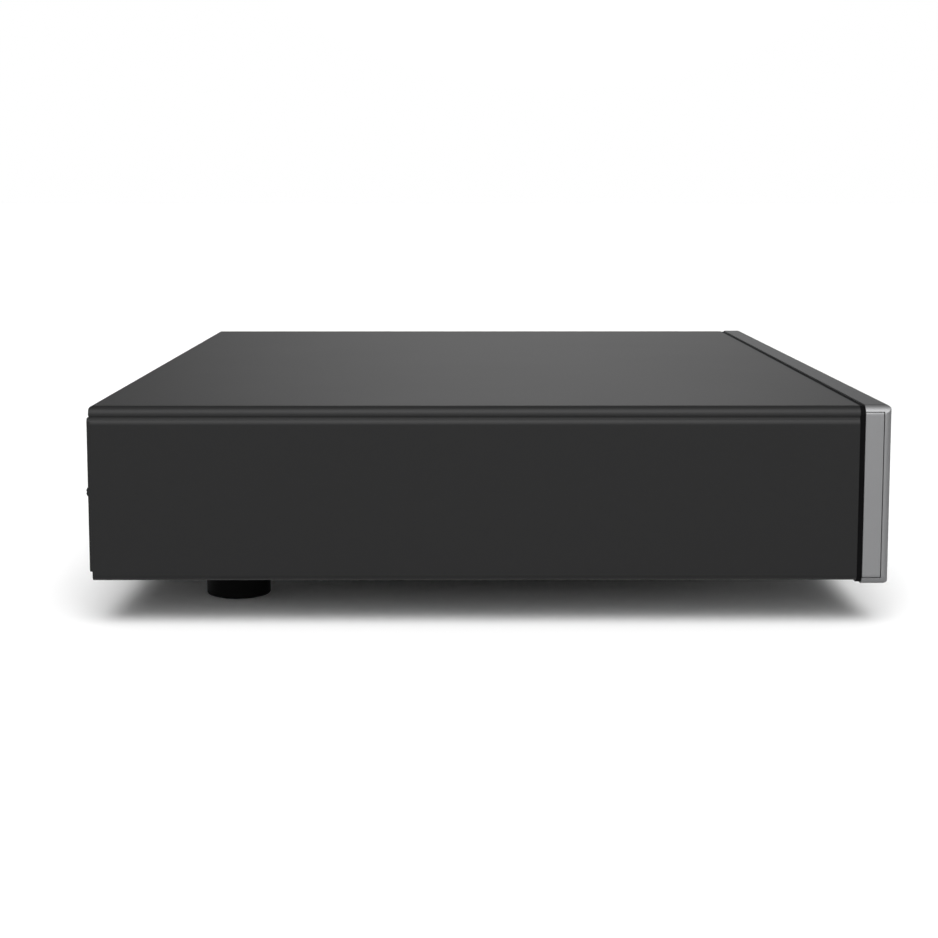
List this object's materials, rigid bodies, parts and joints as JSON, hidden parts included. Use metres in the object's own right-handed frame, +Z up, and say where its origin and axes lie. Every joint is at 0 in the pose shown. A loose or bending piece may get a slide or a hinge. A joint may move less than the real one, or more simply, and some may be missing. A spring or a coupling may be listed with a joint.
{
  "type": "network music streamer",
  "caption": "Full-width hi-fi network music streamer: folded steel case, thick aluminium fascia with display, keys and turn-and-push knob, rear sockets.",
  "frame": {"origin": "on the floor, under the middle of the whole object", "axes": "+X to the right seen from the front, -Y out of the fascia, +Z up"},
  "size_m": [0.43, 0.3264, 0.085],
  "materials": {
    "case_paint": "matte charcoal powder coat",
    "fascia_aluminium": "fine blasted, clear anodised",
    "knob_aluminium": "turned, clear anodised",
    "black_moulding": "fine texture",
    "rubber": "matte",
    "black_screw": "black zinc",
    "smoked_window": "smoked, polished",
    "screen": "dark panel",
    "board_green": "solder mask",
    "bright_metal": "nickel plated",
    "gold_plate": "gold plated",
    "coloured_insert": "white and red mouldings",
    "pale_insert": "moulded",
    "lens": "clear lens",
    "dark_lens": "infrared filter",
    "copper_core": "wound and taped",
    "wire_sheath": "wire sheath"
  },
  "bodies": {
    "case": {"chassis": "case_paint", "top_cover": "case_paint", "rear_panel": "case_paint", "fascia": "fascia_aluminium", "end_cap_left": "fascia_aluminium", "end_cap_right": "fascia_aluminium", "front_subframe": "black_moulding", "rear_foot_left": "black_moulding", "rear_foot_right": "black_moulding", "front_foot": "black_moulding", "foot_pads": "rubber", "case_screws": "black_screw", "display_window": "smoked_window", "display_gasket": "rubber", "display_module": "screen", "tact_switches": "black_moulding", "control_board": "board_green", "standby_led": "lens", "ir_receiver": "dark_lens", "front_usb_shell": "bright_metal", "encoder_body": "bright_metal", "encoder_nut": "bright_metal", "mains_inlet": "black_moulding", "mains_pins": "bright_metal", "power_switch": "black_moulding", "phono_blocks": "black_moulding", "phono_barrels": "gold_plate", "phono_insulators": "coloured_insert", "xlr_shells": "bright_metal", "xlr_inserts": "black_moulding", "xlr_pins": "gold_plate", "optical_sockets": "black_moulding", "usb_shells": "bright_metal", "usb_tongues": "pale_insert", "ethernet_jack": "bright_metal", "control_jacks": "black_moulding", "main_board": "board_green", "signal_chips": "black_moulding", "capacitors": "black_moulding", "network_module": "bright_metal", "power_board": "board_green", "transformer": "copper_core", "board_standoffs": "gold_plate", "board_screws": "bright_metal", "ribbon_cable": "pale_insert", "mains_wiring": "wire_sheath"},
    "knob_plunger": {"encoder_plunger": "black_moulding"},
    "knob": {"knob": "knob_aluminium", "knob_hub": "black_moulding", "encoder_shaft": "bright_metal"},
    "power_rocker": {"power_rocker": "black_moulding"},
    "optical_in_shutter": {"optical_in_shutter": "black_moulding"},
    "optical_out_shutter": {"optical_out_shutter": "black_moulding"},
    "standby_key": {"standby_key": "fascia_aluminium"},
    "menu_key": {"menu_key": "fascia_aluminium"},
    "back_key": {"back_key": "fascia_aluminium"},
    "info_key": {"info_key": "fascia_aluminium"},
    "previous_key": {"previous_key": "fascia_aluminium"},
    "play_key": {"play_key": "fascia_aluminium"},
    "next_key": {"next_key": "fascia_aluminium"}
  },
  "joints": [
    {"name": "standby_press", "type": "slide", "parent": "case", "child": "standby_key", "axis": [0, 1, 0], "range_m": [0, 0.0005], "stiffness_N_per_m": 2000},
    {"name": "menu_press", "type": "slide", "parent": "case", "child": "menu_key", "axis": [0, 1, 0], "range_m": [0, 0.0005], "stiffness_N_per_m": 2000},
    {"name": "back_press", "type": "slide", "parent": "case", "child": "back_key", "axis": [0, 1, 0], "range_m": [0, 0.0005], "stiffness_N_per_m": 2000},
    {"name": "info_press", "type": "slide", "parent": "case", "child": "info_key", "axis": [0, 1, 0], "range_m": [0, 0.0005], "stiffness_N_per_m": 2000},
    {"name": "previous_press", "type": "slide", "parent": "case", "child": "previous_key", "axis": [0, 1, 0], "range_m": [0, 0.0005], "stiffness_N_per_m": 2000},
    {"name": "play_press", "type": "slide", "parent": "case", "child": "play_key", "axis": [0, 1, 0], "range_m": [0, 0.0005], "stiffness_N_per_m": 2000},
    {"name": "next_press", "type": "slide", "parent": "case", "child": "next_key", "axis": [0, 1, 0], "range_m": [0, 0.0005], "stiffness_N_per_m": 2000},
    {"name": "knob_push", "type": "slide", "parent": "case", "child": "knob_plunger", "axis": [0, 1, 0], "range_m": [0, 0.0005], "stiffness_N_per_m": 4000},
    {"name": "knob_turn", "type": "hinge", "parent": "knob_plunger", "child": "knob", "pos_m": [0.16, -0.14975, 0.0506], "axis": [0, -1, 0], "continuous": true},
    {"name": "rocker_tip", "type": "hinge", "parent": "case", "child": "power_rocker", "pos_m": [-0.143, 0.15125, 0.0506], "axis": [-1, 0, 0], "range_deg": [0, 22]},
    {"name": "optical_in_flap", "type": "hinge", "parent": "case", "child": "optical_in_shutter", "pos_m": [0.073, 0.1579, 0.0381], "axis": [-1, 0, 0], "range_deg": [0, 75], "stiffness_Nm_per_rad": 0.0004},
    {"name": "optical_out_flap", "type": "hinge", "parent": "case", "child": "optical_out_shutter", "pos_m": [0.059, 0.1579, 0.0381], "axis": [-1, 0, 0], "range_deg": [0, 75], "stiffness_Nm_per_rad": 0.0004}
  ]
}
